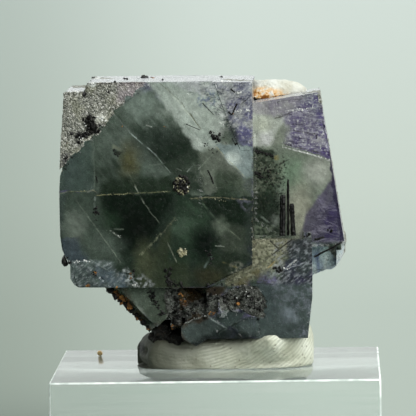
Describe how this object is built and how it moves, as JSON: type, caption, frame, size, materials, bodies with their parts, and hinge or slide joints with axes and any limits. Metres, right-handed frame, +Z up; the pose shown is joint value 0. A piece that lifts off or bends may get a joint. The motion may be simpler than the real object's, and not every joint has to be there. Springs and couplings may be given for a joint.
{
  "type": "fluorite crystal",
  "caption": "Intergrown fluorite cubes with black tourmaline prisms and feldspar matrix, pressed in mineral tack on a square clear acrylic display block.",
  "frame": {"origin": "middle of the display block's underside", "axes": "+X to the right seen from the front, +Y away from the viewer, +Z up"},
  "size_m": [0.05, 0.05, 0.0572],
  "materials": {
    "fluorite": "dark green and purple, translucent, vitreous faces",
    "feldspar": "cream with rust-brown stains, dull",
    "tourmaline": "black, striated, half-gloss",
    "tack": "warm grey putty with pressed ridges",
    "acrylic": "clear, polished"
  },
  "bodies": {
    "root": {"fluorite_crystals": "fluorite", "feldspar_matrix": "feldspar", "tourmaline_prism_left": "tourmaline", "tourmaline_prism_middle": "tourmaline", "tourmaline_prism_right": "tourmaline", "tourmaline_needle_long": "tourmaline", "tourmaline_needle_short": "tourmaline", "tourmaline_knot": "tourmaline", "mineral_tack": "tack", "display_block": "acrylic"}
  },
  "joints": []
}
